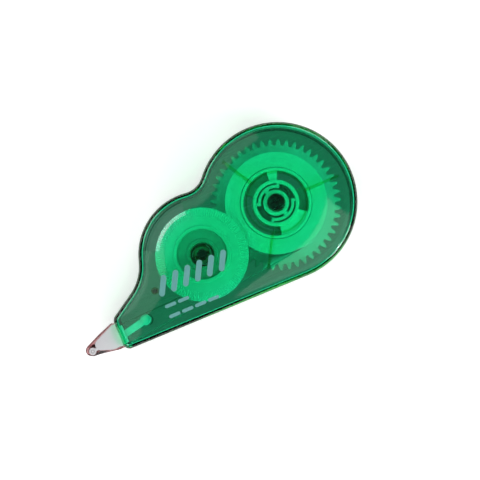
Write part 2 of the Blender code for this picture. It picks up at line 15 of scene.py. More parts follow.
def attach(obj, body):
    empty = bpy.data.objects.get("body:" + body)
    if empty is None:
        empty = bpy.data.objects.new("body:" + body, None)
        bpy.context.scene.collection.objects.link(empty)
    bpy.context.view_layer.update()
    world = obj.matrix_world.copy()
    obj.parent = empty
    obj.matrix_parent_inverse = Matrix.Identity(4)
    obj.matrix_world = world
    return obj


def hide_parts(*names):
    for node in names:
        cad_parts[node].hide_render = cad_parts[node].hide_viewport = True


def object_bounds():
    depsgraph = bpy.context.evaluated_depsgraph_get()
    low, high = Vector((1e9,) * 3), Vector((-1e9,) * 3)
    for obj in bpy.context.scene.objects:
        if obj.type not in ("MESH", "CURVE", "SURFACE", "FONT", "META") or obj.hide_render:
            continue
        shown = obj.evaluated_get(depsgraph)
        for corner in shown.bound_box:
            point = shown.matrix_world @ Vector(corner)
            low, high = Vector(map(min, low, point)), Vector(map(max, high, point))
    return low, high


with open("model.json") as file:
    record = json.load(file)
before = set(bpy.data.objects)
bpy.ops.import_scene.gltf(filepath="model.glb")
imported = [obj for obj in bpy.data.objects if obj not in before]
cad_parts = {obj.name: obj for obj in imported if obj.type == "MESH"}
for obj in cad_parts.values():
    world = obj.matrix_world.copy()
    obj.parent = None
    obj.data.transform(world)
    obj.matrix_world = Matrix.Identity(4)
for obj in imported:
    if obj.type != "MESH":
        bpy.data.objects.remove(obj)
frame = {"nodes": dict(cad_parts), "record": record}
cad_low, cad_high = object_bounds()


# Studio
# The roller lies on its back on a white table. Four softboxes stand low round it, so that the
# middle of the crowned cover mirrors only the dim room; three cards overhead lay a soft sheen
# along its left, upper and lower right borders, and a small lamp gives the glints.

MM = 0.001
up_on_table = Vector((0.39, 0.921, 0.0)).normalized()
aim = Vector((-13.6, -5.9, 15.0)) * MM
tilt = math.radians(3.0)
distance = 0.316

camera_data = bpy.data.cameras.new("camera")
camera_data.lens = 85
camera_data.sensor_width = 36
camera = bpy.data.objects.new("camera", camera_data)
bpy.context.scene.collection.objects.link(camera)
back = Vector((0, 0, 1)) * math.cos(tilt) - up_on_table * math.sin(tilt)
camera.location = aim + back * distance
side = up_on_table.cross(back).normalized()
above = back.cross(side).normalized()
turn = camera.matrix_world.to_3x3()
turn.col[0], turn.col[1], turn.col[2] = side, above, back
camera.rotation_euler = turn.to_euler()
bpy.context.scene.camera = camera


def softbox(name, place, width, power):
    """A square lamp that faces the origin."""
    lamp = bpy.data.lights.new(name, "AREA")
    lamp.shape = "SQUARE"
    lamp.size = width
    lamp.energy = power
    holder = bpy.data.objects.new(name, lamp)
    holder.location = place
    holder.rotation_euler = Vector(place).to_track_quat("Z", "Y").to_euler()
    bpy.context.scene.collection.objects.link(holder)
    return holder


side_reach, side_height, side_width = 0.62, 0.42, 0.35
for bearing, power in ((40, 1.15), (130, 1.1), (220, 1.75), (310, 2.6)):
    away = math.radians(bearing)
    place = (side_reach * math.cos(away), side_reach * math.sin(away), side_height)
    softbox(f"side_softbox_{bearing}", place, side_width, power)
softbox("left_card", (-0.20, 0.04, 0.50), 0.245, 0.17)
softbox("upper_card", (-0.09, 0.18, 0.50), 0.21, 0.11)
softbox("corner_card", (0.077, -0.085, 0.50), 0.148, 0.085)
softbox("corner_lamp", (0.17, -0.22, 0.30), 0.02, 0.10)

world = bpy.data.worlds.new("studio")
world.use_nodes = True
world.node_tree.nodes["Background"].inputs["Color"].default_value = (1.0, 1.0, 1.0, 1.0)
world.node_tree.nodes["Background"].inputs["Strength"].default_value = 0.07
bpy.context.scene.world = world
bpy.context.scene.view_settings.view_transform = "Standard"


class Finish:
    """A material under construction: its Principled shader and a few ways to add nodes."""

    def __init__(self, name, colour, roughness, **sockets):
        self.material = bpy.data.materials.new(name)
        self.material.use_nodes = True
        self.tree = self.material.node_tree
        self.shader = self.tree.nodes["Principled BSDF"]
        self.output = self.tree.nodes["Material Output"]
        self.shader.inputs["Base Color"].default_value = (*colour, 1.0)
        self.shader.inputs["Roughness"].default_value = roughness
        for socket, value in sockets.items():
            self.shader.inputs[socket.replace("_", " ")].default_value = value

    def node(self, kind, **values):
        made = self.tree.nodes.new(kind)
        for name, value in values.items():
            setattr(made, name, value)
        return made

    def join(self, source, target):
        self.tree.links.new(source, target)

    def group(self, tree, **values):
        made = self.node("ShaderNodeGroup", node_tree=tree)
        for name, value in values.items():
            made.inputs[name.replace("_", " ")].default_value = value
        return made

    def bump(self, height, depth, strength=1.0):
        """Feeds the shader's normal from a height that swings through the given depth in mm."""
        made = self.node("ShaderNodeBump")
        made.inputs["Strength"].default_value = strength
        made.inputs["Distance"].default_value = depth * MM
        self.join(height, made.inputs["Height"])
        self.join(made.outputs["Normal"], self.shader.inputs["Normal"])


table_mesh = bpy.data.meshes.new("table")
reach, drop = 1.5, -0.0001
table_mesh.from_pydata(
    [(-reach, -reach, drop), (reach, -reach, drop), (reach, reach, drop), (-reach, reach, drop)],
    [],
    [(0, 1, 2, 3)],
)
table = bpy.data.objects.new("table", table_mesh)
bpy.context.scene.collection.objects.link(table)
table_finish = Finish("white_table", (0.95, 0.95, 0.95), 0.6, Specular_IOR_Level=0.1)
table_finish.shader.inputs["Emission Color"].default_value = (1.0, 1.0, 1.0, 1.0)
table_finish.shader.inputs["Emission Strength"].default_value = 0.46
table_mesh.materials.append(table_finish.material)


# Rear cover
# The deeper half of the case, injection moulded in clear green polystyrene with a frosted
# inside. Posts for the reels, the pin of the snap and the tip's anchor rise from its floor, and
# a lip round its edge plugs into the front cover.

axes = {joint["name"]: Vector(joint["pos_m"]) / MM for joint in frame["record"]["behaviour"]["joints"]}
SUPPLY = axes["supply_gear_spin"].xy
TAKEUP = axes["takeup_spin"].xy
CASE_DEPTH = (cad_high[2] - cad_low[2]) / MM
WALL = 1.2
SPLIT = 7.5
SEAM = 0.3
OUTER_EDGE_R = 1.5
LIP = (0.5, 0.65, 0.85)  # rebate in the front cover, lip on the rear cover, rise
SUPPLY_END = (Vector((0.43, 0.11)), 22.46)
TAKEUP_END_R = 17.85
NECK_R = 6.5
NOSE_R = 13.66
NOSE_BEARING = math.radians(163.4)
MOUTH = ((Vector((-53.0, -13.5)), 2.0), (Vector((-53.1, -20.0)), 1.9))


def polar(centre, radius, angle):
    return centre + radius * Vector((math.cos(angle), math.sin(angle)))


def arc_outline(arcs, inset=0.0, chord=0.7):
    """Anticlockwise outline of tangent arcs; a negative radius is a hollow one."""
    joins = []
    for (c0, r0), (c1, r1) in zip(arcs, arcs[1:] + arcs[:1]):
        run = c1 - c0
        spread = min(1.0, (r0 - r1) / run.length)
        joins.append(math.atan2(run.y, run.x) - math.acos(spread))
    points = []
    for i, (centre, radius) in enumerate(arcs):
        start, end = joins[i - 1], joins[i]
        sweep = (end - start) % math.tau if radius > 0 else -((start - end) % math.tau)
        steps = max(6, round(abs(radius * sweep) / chord))
        out = max(radius - inset, 0.05) if radius > 0 else radius - inset
        points += [polar(centre, out, start + sweep * k / steps) for k in range(steps + 1)]
    return points


def case_arcs():
    """The case's outline: both round ends, the neck between them, the nose and the mouth."""
    centre, radius = SUPPLY_END
    apart = (TAKEUP - centre).length
    near, far = radius + NECK_R, TAKEUP_END_R + NECK_R
    along = (near**2 - far**2 + apart**2) / (2 * apart)
    towards = (TAKEUP - centre).normalized()
    outwards = Vector((towards.y, -towards.x))
    neck = centre + along * towards + math.sqrt(near**2 - along**2) * outwards
    nose = polar(TAKEUP, TAKEUP_END_R + NOSE_R, NOSE_BEARING)
    return [SUPPLY_END, (neck, -NECK_R), (TAKEUP, TAKEUP_END_R), (nose, -NOSE_R), *MOUTH]


def shell(rings):
    """Closed solid through rings of equal length, each an (outline, height) pair."""
    bm = bmesh.new()
    loops = [[bm.verts.new((p.x, p.y, z)) for p in outline] for outline, z in rings]
    for low, high in zip(loops, loops[1:]):
        for k in range(len(low)):
            bm.faces.new((low[k - 1], low[k], high[k], high[k - 1]))
    bm.faces.new(loops[0])
    bm.faces.new(loops[-1])
    bmesh.ops.recalc_face_normals(bm, faces=bm.faces)
    return bm


def case_shell(steps):
    """Cover wall through (inset, height) pairs, from the middle of the outer face inwards."""
    arcs = case_arcs()
    return shell([(arc_outline(arcs, inset), z) for inset, z in steps])


def quarter_round(radius, steps=8):
    """(inset, drop) pairs from the flat face down to the side, with a narrow flat border."""
    turns = [math.radians(90) * k / steps for k in range(steps + 1)]
    rounded = [(radius * (1 - math.sin(t)), radius * (1 - math.cos(t))) for t in turns]
    return [(radius + 0.1, 0.0)] + rounded


def turned(profile, centre, steps=96, hollow=False, ripple=None):
    """Surface of revolution of (radius, height) points; a hollow one closes on itself."""
    bm = bmesh.new()
    rings = []
    for r, z in profile:
        ring = []
        for k in range(steps):
            angle = math.tau * k / steps
            rr, zz = ripple(r, z, k) if ripple else (r, z)
            spot = polar(centre, rr, angle)
            ring.append(bm.verts.new((spot.x, spot.y, zz)))
        rings.append(ring)
    pairs = list(zip(rings, rings[1:]))
    if hollow:
        pairs.append((rings[-1], rings[0]))
    for low, high in pairs:
        for k in range(steps):
            bm.faces.new((low[k - 1], low[k], high[k], high[k - 1]))
    if not hollow:
        bm.faces.new(rings[0])
        bm.faces.new(rings[-1])
    bmesh.ops.recalc_face_normals(bm, faces=bm.faces)
    return bm


def tube(centre, radii, heights, steps=96):
    """Ring with a square section."""
    (inner, outer), (low, high) = radii, heights
    return turned([(inner, low), (outer, low), (outer, high), (inner, high)], centre, steps, True)


def prism(outline, heights):
    """Straight solid on a closed outline."""
    bm = bmesh.new()
    low, high = heights
    face = bm.faces.new([bm.verts.new((p.x, p.y, low)) for p in outline])
    raised = bmesh.ops.extrude_face_region(bm, geom=[face])["geom"]
    moved = [v for v in raised if isinstance(v, bmesh.types.BMVert)]
    bmesh.ops.translate(bm, verts=moved, vec=(0, 0, high - low))
    bmesh.ops.recalc_face_normals(bm, faces=bm.faces)
    return bm


def bar(start, end, width):
    """Outline of a straight bar between two points."""
    beside = (end - start).normalized().orthogonal() * width / 2
    return [start + beside, start - beside, end - beside, end + beside]


def gathered(solids):
    """Several separate solids as one mesh."""
    whole = bmesh.new()
    for solid in solids:
        mesh = bpy.data.meshes.new("piece")
        solid.to_mesh(mesh)
        solid.free()
        whole.from_mesh(mesh)
        bpy.data.meshes.remove(mesh)
    return whole


def combined(solid, tool, operation):
    """The exact Boolean of two solids, as a new mesh."""
    things = []
    for bm in (solid, tool):
        mesh = bpy.data.meshes.new("blank")
        bm.to_mesh(mesh)
        bm.free()
        things.append(bpy.data.objects.new("blank", mesh))
        bpy.context.scene.collection.objects.link(things[-1])
    modifier = things[0].modifiers.new("Combine", "BOOLEAN")
    modifier.operation = operation
    modifier.solver = "EXACT"
    modifier.object = things[1]
    evaluated = things[0].evaluated_get(bpy.context.evaluated_depsgraph_get())
    result = bmesh.new()
    result.from_mesh(evaluated.to_mesh())
    evaluated.to_mesh_clear()
    for thing in things:
        mesh = thing.data
        bpy.data.objects.remove(thing)
        bpy.data.meshes.remove(mesh)
    return result


def fitted(name, bm, body, finish, stands_for=(), sharp=32):
    """Makes the piece from a mesh in mm, smooth where it is round, and fits it to its body."""
    bmesh.ops.remove_doubles(bm, verts=bm.verts, dist=1e-4)
    bm.transform(Matrix.Scale(MM, 4))
    mesh = bpy.data.meshes.new(name)
    bm.to_mesh(mesh)
    bm.free()
    mesh.materials.append(finish.material)
    for face in mesh.polygons:
        face.use_smooth = True
    mesh.set_sharp_from_angle(angle=math.radians(sharp))
    piece = bpy.data.objects.new(name, mesh)
    bpy.context.scene.collection.objects.link(piece)
    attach(piece, body)
    if stands_for:
        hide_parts(*stands_for)
    return piece


def group_tree(name, inputs, outputs):
    """An empty node group with named sockets, and its two end nodes."""
    tree = bpy.data.node_groups.new(name, "ShaderNodeTree")
    for socket, kind, value in inputs:
        made = tree.interface.new_socket(socket, in_out="INPUT", socket_type=kind)
        made.default_value = value
    for socket, kind in outputs:
        tree.interface.new_socket(socket, in_out="OUTPUT", socket_type=kind)
    return tree, tree.nodes.new("NodeGroupInput"), tree.nodes.new("NodeGroupOutput")


FLOAT, COLOUR = "NodeSocketFloat", "NodeSocketColor"


def moulded_skin_group():
    """Moulded skin: fine grain, and slow drifts of tone and gloss as the melt flowed."""
    tree, given, made = group_tree(
        "moulded_skin",
        [
            ("Colour", COLOUR, (0.8, 0.8, 0.8, 1.0)),
            ("Shade", COLOUR, (0.7, 0.7, 0.7, 1.0)),
            ("Roughness", FLOAT, 0.4),
            ("Spread", FLOAT, 0.1),
            ("Grain Scale", FLOAT, 4000.0),
        ],
        [("Colour", COLOUR), ("Roughness", FLOAT), ("Height", FLOAT)],
    )
    place = tree.nodes.new("ShaderNodeTexCoord")
    flow = tree.nodes.new("ShaderNodeTexNoise")
    flow.inputs["Scale"].default_value = 260.0
    flow.inputs["Detail"].default_value = 4.0
    flow.inputs["Distortion"].default_value = 0.6
    grain = tree.nodes.new("ShaderNodeTexNoise")
    grain.inputs["Detail"].default_value = 3.0
    blend = tree.nodes.new("ShaderNodeMix")
    blend.data_type = "RGBA"
    gloss = tree.nodes.new("ShaderNodeMath")
    gloss.operation = "MULTIPLY_ADD"
    join = tree.links.new
    join(place.outputs["Object"], flow.inputs["Vector"])
    join(place.outputs["Object"], grain.inputs["Vector"])
    join(given.outputs["Grain Scale"], grain.inputs["Scale"])
    join(flow.outputs["Fac"], blend.inputs["Factor"])
    join(given.outputs["Colour"], blend.inputs["A"])
    join(given.outputs["Shade"], blend.inputs["B"])
    join(flow.outputs["Fac"], gloss.inputs[0])
    join(given.outputs["Spread"], gloss.inputs[1])
    join(given.outputs["Roughness"], gloss.inputs[2])
    join(blend.outputs["Result"], made.inputs["Colour"])
    join(gloss.outputs["Value"], made.inputs["Roughness"])
    join(grain.outputs["Fac"], made.inputs["Height"])
    return tree


def hairline_group():
    """Hairline scuffs from handling: two crossing sets of fine, broken scratches."""
    tree, given, made = group_tree(
        "hairline_scuffs",
        [("Density", FLOAT, 0.5), ("Base", FLOAT, 0.03), ("Rise", FLOAT, 0.2)],
        [("Mask", FLOAT), ("Roughness", FLOAT)],
    )
    join = tree.links.new
    place = tree.nodes.new("ShaderNodeTexCoord")
    masks = []
    for degrees in (24, -57):
        turned_to = tree.nodes.new("ShaderNodeMapping")
        turned_to.inputs["Rotation"].default_value = (0.0, 0.0, math.radians(degrees))
        turned_to.inputs["Scale"].default_value = (55.0, 3200.0, 400.0)
        lines = tree.nodes.new("ShaderNodeTexNoise")
        lines.inputs["Scale"].default_value = 1.0
        lines.inputs["Detail"].default_value = 1.0
        keep = tree.nodes.new("ShaderNodeMapRange")
        keep.inputs["From Min"].default_value = 0.69
        keep.inputs["From Max"].default_value = 0.74
        join(place.outputs["Object"], turned_to.inputs["Vector"])
        join(turned_to.outputs["Vector"], lines.inputs["Vector"])
        join(lines.outputs["Fac"], keep.inputs["Value"])
        masks.append(keep.outputs["Result"])
    either = tree.nodes.new("ShaderNodeMath")
    either.operation = "MAXIMUM"
    join(masks[0], either.inputs[0])
    join(masks[1], either.inputs[1])
    thinned = tree.nodes.new("ShaderNodeMath")
    thinned.operation = "MULTIPLY"
    join(either.outputs["Value"], thinned.inputs[0])
    join(given.outputs["Density"], thinned.inputs[1])
    gloss = tree.nodes.new("ShaderNodeMath")
    gloss.operation = "MULTIPLY_ADD"
    join(thinned.outputs["Value"], gloss.inputs[0])
    join(given.outputs["Rise"], gloss.inputs[1])
    join(given.outputs["Base"], gloss.inputs[2])
    join(thinned.outputs["Value"], made.inputs["Mask"])
    join(gloss.outputs["Value"], made.inputs["Roughness"])
    return tree


def painted_wall_shade_group():
    """Painted shade on a cover's steep side wall: a darker tint that blends out at a height above the
    split.
    """
    tree, given, made = group_tree(
        "painted_wall_shade",
        [
            ("Tint", COLOUR, (0.5, 0.5, 0.5, 1.0)),
            ("From Height", FLOAT, 0.012),
            ("To Height", FLOAT, 0.013),
        ],
        [("Colour", COLOUR)],
    )
    join = tree.links.new
    place = tree.nodes.new("ShaderNodeTexCoord")
    parts = tree.nodes.new("ShaderNodeSeparateXYZ")
    rise = tree.nodes.new("ShaderNodeMapRange")
    blend = tree.nodes.new("ShaderNodeMix")
    blend.data_type = "RGBA"
    blend.inputs["B"].default_value = (1.0, 1.0, 1.0, 1.0)
    join(place.outputs["Object"], parts.inputs["Vector"])
    join(parts.outputs["Z"], rise.inputs["Value"])
    join(given.outputs["From Height"], rise.inputs["From Min"])
    join(given.outputs["To Height"], rise.inputs["From Max"])
    join(rise.outputs["Result"], blend.inputs["Factor"])
    join(given.outputs["Tint"], blend.inputs["A"])
    join(blend.outputs["Result"], made.inputs["Colour"])
    return tree


moulded_skin = moulded_skin_group()
hairline_scuffs = hairline_group()
painted_wall_shade = painted_wall_shade_group()


def clear_plastic(name, absorbed, roughness, scuffs, ripple, wall=None):
    """Dyed clear plastic; absorbed is what each millimetre takes of red, green and blue.

    A wall of (low, high, tint) paints shade on the surface below the low height as a darker tint, out to
    none at the high.
    """
    finish = Finish(name, (1.0, 1.0, 1.0), roughness, Transmission_Weight=1.0, IOR=1.49)
    path = finish.node("ShaderNodeLightPath")
    passing = finish.node("ShaderNodeBsdfTransparent")
    passing.inputs["Color"].default_value = (0.93, 0.93, 0.93, 1.0)
    either = finish.node("ShaderNodeMixShader")
    finish.join(path.outputs["Is Shadow Ray"], either.inputs["Fac"])
    finish.join(finish.shader.outputs["BSDF"], either.inputs[1])
    finish.join(passing.outputs["BSDF"], either.inputs[2])
    finish.join(either.outputs["Shader"], finish.output.inputs["Surface"])
    dye = finish.node("ShaderNodeVolumeAbsorption")
    strongest = max(absorbed) * 1.05
    dye.inputs["Color"].default_value = (*(1 - a / strongest for a in absorbed), 1.0)
    dye.inputs["Density"].default_value = strongest / MM
    finish.join(dye.outputs["Volume"], finish.output.inputs["Volume"])
    if wall:
        low, high, tint = wall
        side = finish.group(painted_wall_shade, From_Height=low * MM, To_Height=high * MM, Tint=(*tint, 1.0))
        finish.join(side.outputs["Colour"], finish.shader.inputs["Base Color"])
    worn = finish.group(hairline_scuffs, Density=scuffs, Base=roughness, Rise=0.25)
    finish.join(worn.outputs["Roughness"], finish.shader.inputs["Roughness"])
    skin = finish.group(moulded_skin, Grain_Scale=900.0)
    finish.bump(skin.outputs["Height"], ripple, 0.35)
    return finish


# The rear cover's dye is denser than the front's as painted shade: it darkens the view through both covers
# the way the shaded ground under the case would.
rear_green_painted_shade = clear_plastic("rear_clear_green_painted_shade", (1.6, 0.84, 1.12), 0.24, 0.3, 0.02)

FLOOR = 1.3
# Posts and pins: (radius, top) of the foot, of any boss on it, and of the post itself.
SUPPLY_FOOT, SUPPLY_POST = (4.2, 2.3), (2.5, 13.3)
TAKEUP_FOOT, TAKEUP_BOSS, TAKEUP_POST = (4.9, 2.3), (3.3, 4.4), (1.4, 13.0)
SNAP = Vector((-41.0, -9.7))
SNAP_PIN = (0.5, CASE_DEPTH - 2.3)
ANCHOR = Vector((-46.8, -15.95))
ANCHOR_FOOT, ANCHOR_PIN = (1.5, 5.7), (0.75, 10.0)
DIMPLE_R, DIMPLE_Z = 0.75, (12.3, 14.0)
MOUTH_OPENING = (Vector((-56.0, -20.8)), Vector((-52.8, -13.65)), (3.9, 11.9))


def mouth_opening():
    """The cut that leaves the case open round the tip."""
    low, high, heights = MOUTH_OPENING
    corners = (low, Vector((high.x, low.y)), high, Vector((low.x, high.y)))
    return prism(corners, heights)


def soft_post(centre, *steps, tip_round=0.25):
    """Stepped round post from (radius, top) pairs, with a rounded end."""
    profile = [(steps[0][0], FLOOR / 2)]
    for (r, z), (after, _) in zip(steps, steps[1:]):
        profile += [(r, z), (after, z)]
    last, top = steps[-1]
    profile += [(last, top - tip_round), (last - tip_round * 0.3, top - tip_round * 0.3)]
    profile += [(last - tip_round, top)]
    return turned(profile, centre, 48)


def rear_cover_mesh():
    """Tray with its lip and posts, and a dimple in the end of the supply post."""
    top = SPLIT - SEAM / 2
    _, lip, rise = LIP
    steps = quarter_round(OUTER_EDGE_R)
    steps += [(0.0, top - 0.12), (0.12, top), (lip, top), (lip, top + rise - 0.1), (lip + 0.1, top + rise)]
    steps += [(WALL, top + rise), (WALL, FLOOR + 0.8), (WALL + 0.25, FLOOR + 0.25), (WALL + 0.8, FLOOR)]
    steps += [(WALL + 1.2, FLOOR)]
    snap_foot = (SNAP_PIN[0] + 0.1, top + rise / 2)
    posts = [
        soft_post(SUPPLY, SUPPLY_FOOT, SUPPLY_POST, tip_round=0.5),
        soft_post(TAKEUP, TAKEUP_FOOT, TAKEUP_BOSS, TAKEUP_POST),
        soft_post(ANCHOR, ANCHOR_FOOT, ANCHOR_PIN),
        soft_post(SNAP, snap_foot, SNAP_PIN),
    ]
    cover = combined(case_shell(steps), gathered(posts), "UNION")
    dimple = turned([(DIMPLE_R, z) for z in DIMPLE_Z], SUPPLY, 32)
    return combined(combined(cover, dimple, "DIFFERENCE"), mouth_opening(), "DIFFERENCE")


fitted("rear_shell", rear_cover_mesh(), "case", rear_green_painted_shade, ["rear_cover"])


# Front cover
# The shallower half, of the same plastic, polished both sides and slightly crowned. Its dye is
# drawn lighter than the rear cover's, whose denser dye is painted shade. Inside it has a ring over
# the gear, three ribs over the hub, and sockets for the take-up post and the snap's pin.

# The side wall's darker tint is painted shade: it dims the light that shows through the lower wall.
STEEP_WALL_SHADE = (9.5, 11.0, (0.6, 0.6, 0.5))  # heights where its darker tint blends out, and the tint
front_green = clear_plastic("front_clear_green", (1.69, 0.117, 0.42), 0.03, 0.6, 0.01, STEEP_WALL_SHADE)

CEILING = CASE_DEPTH - 1.4
SHOULDER = 1.9
CROWN, CROWN_REACH = 0.3, 9.0  # rise of the face, and how far inside the shoulder it levels out
GRID, GRID_START = 2, 0.31  # spacing and offset of the cuts that let the face bend
ROOT = 0.7  # how far the inner features run up into the face
INNER_EDGE_R = 0.3
GEAR_RING, GEAR_RING_FALL = (18.8, 19.2), 0.6
HUB_RING, HUB_RING_LOW = (8.3, 8.75), 11.3
RIB_WIDTH, RIB_LOW, RIB_BEARINGS = 0.7, 11.0, (0, 120, 240)
TAKEUP_SOCKET_LOW = 12.3
SOCKET_PLAY = 0.15
SNAP_SOCKET_R = 1.0
WINDOW = ((11.8, 16.0), (89, 154))


def sector(centre, radii, degrees, step=1.5):
    """Outline of a part of a ring."""
    start, end = (math.radians(d) for d in degrees)
    steps = max(2, round(math.degrees(end - start) / step))
    sweep = [start + (end - start) * k / steps for k in range(steps + 1)]
    inner = [polar(centre, radii[0], a) for a in reversed(sweep)]
    return [polar(centre, radii[1], a) for a in sweep] + inner


def from_edge(spot, outline):
    """Distance of a point to the nearest side of a closed outline."""
    nearest = 1e9
    for start, end in zip(outline, outline[1:] + outline[:1]):
        run = end - start
        share = max(0.0, min(1.0, (spot - start).dot(run) / run.length_squared)) if run.length else 0.0
        nearest = min(nearest, (spot - start - run * share).length)
    return nearest


coarse_outline = arc_outline(case_arcs(), chord=3.0)


def face_drop(spot):
    """How far the crowned face lies below the case's full depth at a point."""
    inside = min(1.0, max(0.0, (from_edge(spot, coarse_outline) - SHOULDER) / CROWN_REACH))
    return CROWN * (1 - inside) ** 2


def crowned(bm):
    """Divides the flat outer face into a grid and lowers the cover's top towards its edge."""
    for axis, (first, last) in ((0, (-54, 24)), (1, (-24, 24))):
        for k in range(first, last, GRID):
            place, normal = Vector((0, 0, 0)), Vector((0, 0, 0))
            place[axis], normal[axis] = k + GRID_START, 1.0
            flat = [f for f in bm.faces if all(v.co.z > CASE_DEPTH - 1e-3 for v in f.verts)]
            parts = flat + list({e for f in flat for e in f.edges} | {v for f in flat for v in f.verts})
            bmesh.ops.bisect_plane(bm, geom=parts, plane_co=place, plane_no=normal, dist=1e-5)
    start = CASE_DEPTH - SHOULDER
    for v in bm.verts:
        height, spot = v.co.z, v.co.xy
        if height > CEILING + 0.05 or height > start and from_edge(spot, coarse_outline) < WALL / 2:
            v.co.z -= min(1.0, (height - start) / (SHOULDER / 2)) * face_drop(spot)
    return bm


def front_cover_mesh():
    """Lid with its rebate, rings, ribs and sockets, the thumb window, and a crowned face."""
    bottom = SPLIT + SEAM / 2
    rebate, _, rise = LIP
    steps = [(inset, CASE_DEPTH - drop) for inset, drop in quarter_round(SHOULDER, 12)]
    steps += [(0.0, bottom + 0.12), (0.12, bottom), (rebate, bottom), (rebate, bottom + rise)]
    steps += [(WALL, bottom + rise)]
    for k in range(5):
        t = math.radians(90) * k / 4
        inset, drop = INNER_EDGE_R * (1 - math.cos(t)), INNER_EDGE_R * (1 - math.sin(t))
        steps.append((WALL + inset, CEILING - drop))
    steps.append((WALL + SHOULDER, CEILING))
    above = CEILING + ROOT
    takeup_socket = (TAKEUP_POST[0] + SOCKET_PLAY, TAKEUP_POST[0] + 1.0)
    snap_socket = (SNAP_PIN[0] + SOCKET_PLAY, SNAP_SOCKET_R)
    inside = [
        tube(SUPPLY, GEAR_RING, (CEILING - GEAR_RING_FALL, above), 180),
        tube(TAKEUP, takeup_socket, (TAKEUP_SOCKET_LOW, above + 0.1), 48),
        tube(SNAP, snap_socket, (bottom + rise + 0.1, above + 0.1), 32),
    ]
    ribs = []
    for bearing in RIB_BEARINGS:
        a = math.radians(bearing)
        spine = bar(polar(SUPPLY, HUB_RING[0] + 0.2, a), polar(SUPPLY, GEAR_RING[0] + 0.2, a), RIB_WIDTH)
        ribs.append(prism(spine, (RIB_LOW, above - 0.1)))
    cover = combined(case_shell(steps), gathered(inside), "UNION")
    hub_ring = tube(SUPPLY, HUB_RING, (HUB_RING_LOW, above - 0.05), 120)
    cover = combined(combined(cover, gathered(ribs), "UNION"), hub_ring, "UNION")
    window = prism(sector(TAKEUP, *WINDOW), (CEILING - 1.3, CASE_DEPTH + 1.0))
    cover = combined(combined(cover, window, "DIFFERENCE"), mouth_opening(), "DIFFERENCE")
    return crowned(cover)


fitted("front_shell", front_cover_mesh(), "case", front_green, ["front_cover"])


# Decoration
# A plain pattern pad printed in pale teal on the front cover: a row of slanted strokes over
# two rows of dashes, with no lettering. The ink is a film about 0.02 mm thick.

INK_Z = (CASE_DEPTH - 0.005, CASE_DEPTH + 0.02)
INK = (0.16, 0.46, 0.44)
ink = Finish("pale_ink", INK, 0.55)
ink_skin = ink.group(
    moulded_skin, Colour=(*INK, 1.0), Shade=(0.11, 0.36, 0.34, 1.0), Roughness=0.45, Spread=0.2
)
ink.join(ink_skin.outputs["Colour"], ink.shader.inputs["Base Color"])
ink.join(ink_skin.outputs["Roughness"], ink.shader.inputs["Roughness"])
ink.bump(ink_skin.outputs["Height"], 0.01)

FIRST_STROKE, STROKE_RUN = Vector((-39.4, -11.2)), Vector((2.1, 3.9))
STROKES, STROKE_PITCH, STROKE_WIDTH = 6, 3.6, 1.6
DASH_START, DASH_ROWS = -39.6, ((-15.0, 2), (-18.0, 4))
DASH_RUN, DASH_PITCH, DASH_WIDTH = Vector((2.4, 0.0)), 3.9, 0.95


def stroke(start, end, width):
    """A rounded stroke between two points."""
    r = width / 2
    return arc_outline([(start, r), (end, r)], chord=0.2)


def decoration_mesh():
    """The printed film, following the crowned face."""
    strokes = []
    for k in range(STROKES):
        foot = FIRST_STROKE + Vector((STROKE_PITCH * k, 0.0))
        strokes.append(stroke(foot, foot + STROKE_RUN, STROKE_WIDTH))
    for y, dashes in DASH_ROWS:
        for k in range(dashes):
            start = Vector((DASH_START + DASH_PITCH * k, y))
            strokes.append(stroke(start, start + DASH_RUN, DASH_WIDTH))
    film = gathered([prism(outline, INK_Z) for outline in strokes])
    for v in film.verts:
        v.co.z -= face_drop(v.co.xy)
    return film


fitted("cover_decoration", decoration_mesh(), "case", ink)


# Supply gear and slip clutch
# A 48-tooth wheel with a disc behind the tape, and the springy ring on its hub whose arms rub
# in the reel's bore. Both are acetal, moulded with edges just broken; the wheel is drawn greyer as painted
# shade.

nodes = frame["nodes"]


def softened(node, width, segments=2):
    """The node's mesh in mm with its sharp edges rounded to the given width."""
    bm = bmesh.new()
    bm.from_mesh(nodes[node].data)
    bm.transform(Matrix.Scale(1 / MM, 4))
    bmesh.ops.remove_doubles(bm, verts=bm.verts, dist=1e-3)
    bmesh.ops.dissolve_limit(bm, angle_limit=math.radians(1), verts=bm.verts, edges=bm.edges)
    corners = [e for e in bm.edges if e.is_manifold and e.calc_face_angle() > math.radians(35)]
    bmesh.ops.bevel(
        bm, geom=corners, offset=width, segments=segments, profile=0.5, affect="EDGES", clamp_overlap=True
    )
    bmesh.ops.recalc_face_normals(bm, faces=bm.faces)
    return bm


def moulded(name, colour, shade, roughness, grain=0.012):
    """Opaque moulded plastic that drifts between two close tones."""
    finish = Finish(name, colour, roughness)
    skin = finish.group(
        moulded_skin, Colour=(*colour, 1.0), Shade=(*shade, 1.0), Roughness=roughness, Spread=0.15
    )
    finish.join(skin.outputs["Colour"], finish.shader.inputs["Base Color"])
    finish.join(skin.outputs["Roughness"], finish.shader.inputs["Roughness"])
    finish.bump(skin.outputs["Height"], grain)
    return finish


white = moulded("white_acetal", (0.84, 0.85, 0.83), (0.74, 0.75, 0.74), 0.32)

# The wheel's grey is painted shade, for the shade it lies in behind the tape and under the cover's rim.
grey = moulded("gear_acetal_painted_shade", (0.62, 0.64, 0.62), (0.56, 0.58, 0.56), 0.35)
wheel_mesh = softened("supply_gear", 0.1)
fitted("supply_wheel", wheel_mesh, "supply_drive", grey, ["supply_gear"])
clutch_mesh = softened("slip_clutch", 0.08)
fitted("clutch_spring", clutch_mesh, "supply_drive", white, ["slip_clutch"])


# Supply reel
# The open drum that the new tape is wound on, white acetal. It turns on the supply post and is
# driven by the clutch arms that rub in its bore.

